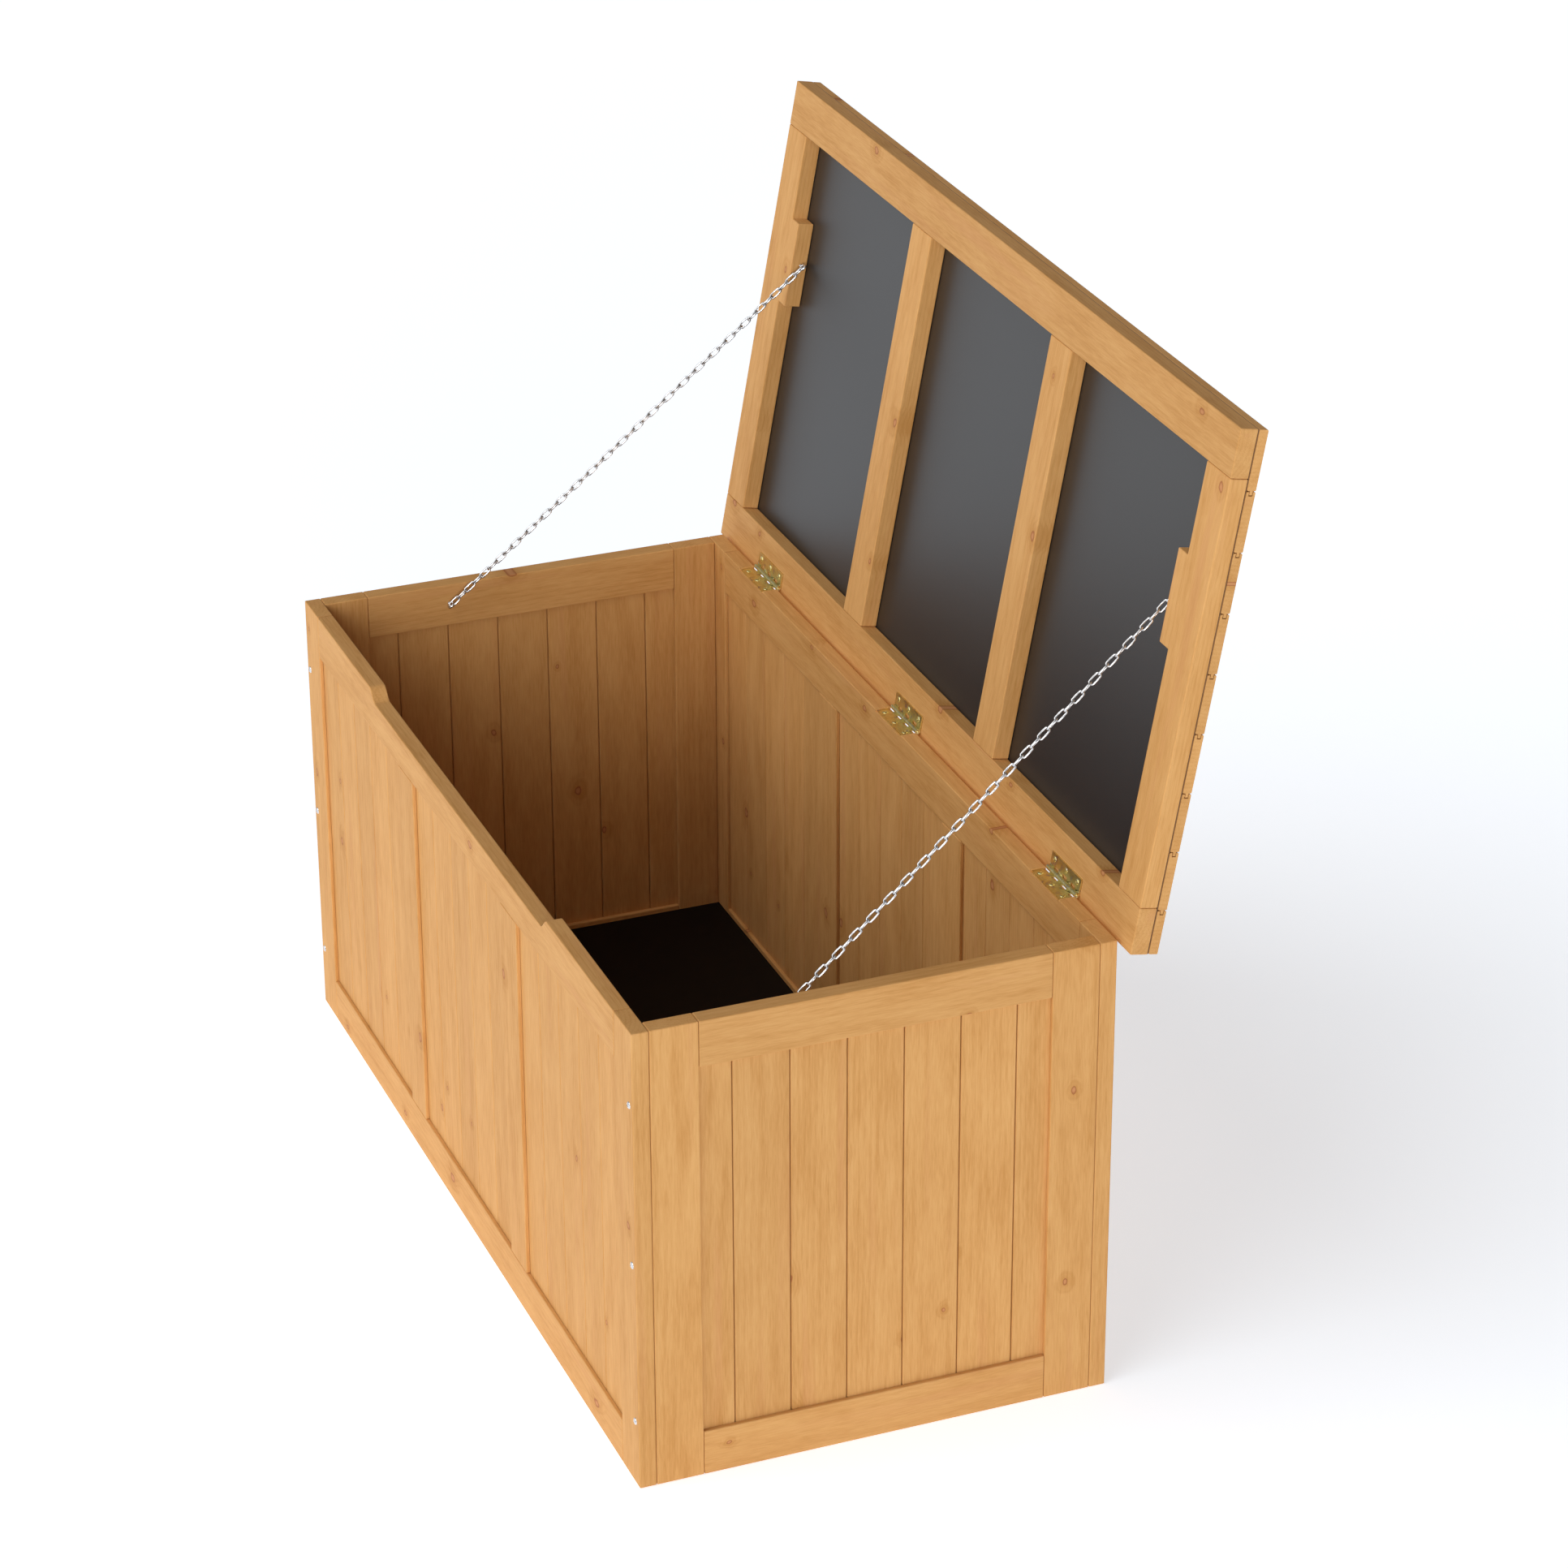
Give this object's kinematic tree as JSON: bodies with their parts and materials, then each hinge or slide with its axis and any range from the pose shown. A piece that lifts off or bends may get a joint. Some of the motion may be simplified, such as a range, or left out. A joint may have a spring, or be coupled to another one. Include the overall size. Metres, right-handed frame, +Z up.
{
  "type": "wooden toy box",
  "caption": "Framed fir toy box with tongue-and-groove walls, a lined overhanging lid on butt hinges, a front hand scoop and chain stays that hold the lid open.",
  "frame": {"origin": "on the floor, at the middle of the whole footprint with the lid open", "axes": "+X to the box's right as seen from the front, +Y to the back, +Z up"},
  "size_m": [1.0374, 0.5886, 0.9652],
  "materials": {
    "fir_frame": "satin",
    "fir_boards": "satin",
    "floor_panel": "matte",
    "lid_liner": "satin",
    "hinge_steel": "yellow passivated zinc",
    "zinc_wire": "bright zinc plated"
  },
  "bodies": {
    "box": {"back_bottom_rail": "fir_frame", "back_left_boards": "fir_boards", "back_left_muntin": "fir_frame", "back_left_stile": "fir_frame", "back_middle_boards": "fir_boards", "back_right_boards": "fir_boards", "back_right_muntin": "fir_frame", "back_right_stile": "fir_frame", "back_top_rail": "fir_frame", "chain_left_box_eye": "zinc_wire", "chain_right_box_eye": "zinc_wire", "floor_back_cleat": "fir_frame", "floor_front_cleat": "fir_frame", "floor_panel": "floor_panel", "front_bottom_rail": "fir_frame", "front_left_boards": "fir_boards", "front_left_muntin": "fir_frame", "front_left_stile": "fir_frame", "front_middle_boards": "fir_boards", "front_right_boards": "fir_boards", "front_right_muntin": "fir_frame", "front_right_stile": "fir_frame", "front_top_rail": "fir_frame", "hinge_left_box_leaf": "hinge_steel", "hinge_left_pin": "hinge_steel", "hinge_middle_box_leaf": "hinge_steel", "hinge_middle_pin": "hinge_steel", "hinge_right_box_leaf": "hinge_steel", "hinge_right_pin": "hinge_steel", "left_end_boards": "fir_boards", "left_end_bottom_rail": "fir_frame", "left_end_front_stile": "fir_frame", "left_end_rear_stile": "fir_frame", "left_end_top_rail": "fir_frame", "right_end_boards": "fir_boards", "right_end_bottom_rail": "fir_frame", "right_end_front_stile": "fir_frame", "right_end_rear_stile": "fir_frame", "right_end_top_rail": "fir_frame"},
    "lid": {"chain_left_lid_eye": "zinc_wire", "chain_right_lid_eye": "zinc_wire", "hinge_left_lid_leaf": "hinge_steel", "hinge_middle_lid_leaf": "hinge_steel", "hinge_right_lid_leaf": "hinge_steel", "lid_boards": "fir_boards", "lid_front_rail": "fir_frame", "lid_left_muntin": "fir_frame", "lid_left_stile": "fir_frame", "lid_liner": "lid_liner", "lid_rear_rail": "fir_frame", "lid_right_muntin": "fir_frame", "lid_right_stile": "fir_frame"},
    "chain_left_box_length": {"chain_left_box_length": "zinc_wire"},
    "chain_left_lid_length": {"chain_left_lid_length": "zinc_wire"},
    "chain_left_middle_length": {"chain_left_middle_length": "zinc_wire"},
    "chain_right_box_length": {"chain_right_box_length": "zinc_wire"},
    "chain_right_lid_length": {"chain_right_lid_length": "zinc_wire"},
    "chain_right_middle_length": {"chain_right_middle_length": "zinc_wire"}
  },
  "joints": [
    {"name": "lid_hinge", "type": "hinge", "parent": "box", "child": "lid", "pos_m": [0, 0.17536, 0.4752], "axis": [1, 0, 0], "range_deg": [0, 100.3]},
    {"name": "chain_left_at_box_eye", "type": "hinge", "parent": "box", "child": "chain_left_box_length", "pos_m": [-0.476, -0.14254, 0.4545], "axis": [1, 0, 0], "range_deg": [-87.63, 0]},
    {"name": "chain_left_at_lid_eye", "type": "hinge", "parent": "lid", "child": "chain_left_lid_length", "pos_m": [-0.4488, 0.24539, 0.78619], "axis": [1, 0, 0], "range_deg": [-43.25, 0]},
    {"name": "chain_left_knee", "type": "hinge", "parent": "chain_left_lid_length", "child": "chain_left_middle_length", "pos_m": [-0.46401, 0.05986, 0.62755], "axis": [1, 0, 0], "range_deg": [0, 139.43]},
    {"name": "chain_right_at_box_eye", "type": "hinge", "parent": "box", "child": "chain_right_box_length", "pos_m": [0.476, -0.14254, 0.4545], "axis": [1, 0, 0], "range_deg": [-87.63, 0]},
    {"name": "chain_right_at_lid_eye", "type": "hinge", "parent": "lid", "child": "chain_right_lid_length", "pos_m": [0.4488, 0.24539, 0.78619], "axis": [1, 0, 0], "range_deg": [-43.25, 0]},
    {"name": "chain_right_knee", "type": "hinge", "parent": "chain_right_lid_length", "child": "chain_right_middle_length", "pos_m": [0.46401, 0.05986, 0.62755], "axis": [1, 0, 0], "range_deg": [0, 139.43]}
  ],
  "couplings": [
    {"joint": "chain_left_at_box_eye", "follows": "lid_hinge", "ratio": -0.8732},
    {"joint": "chain_left_at_lid_eye", "follows": "lid_hinge", "ratio": -0.4307},
    {"joint": "chain_left_knee", "follows": "lid_hinge", "ratio": 1.3896},
    {"joint": "chain_right_at_box_eye", "follows": "lid_hinge", "ratio": -0.8732},
    {"joint": "chain_right_at_lid_eye", "follows": "lid_hinge", "ratio": -0.4307},
    {"joint": "chain_right_knee", "follows": "lid_hinge", "ratio": 1.3896}
  ]
}
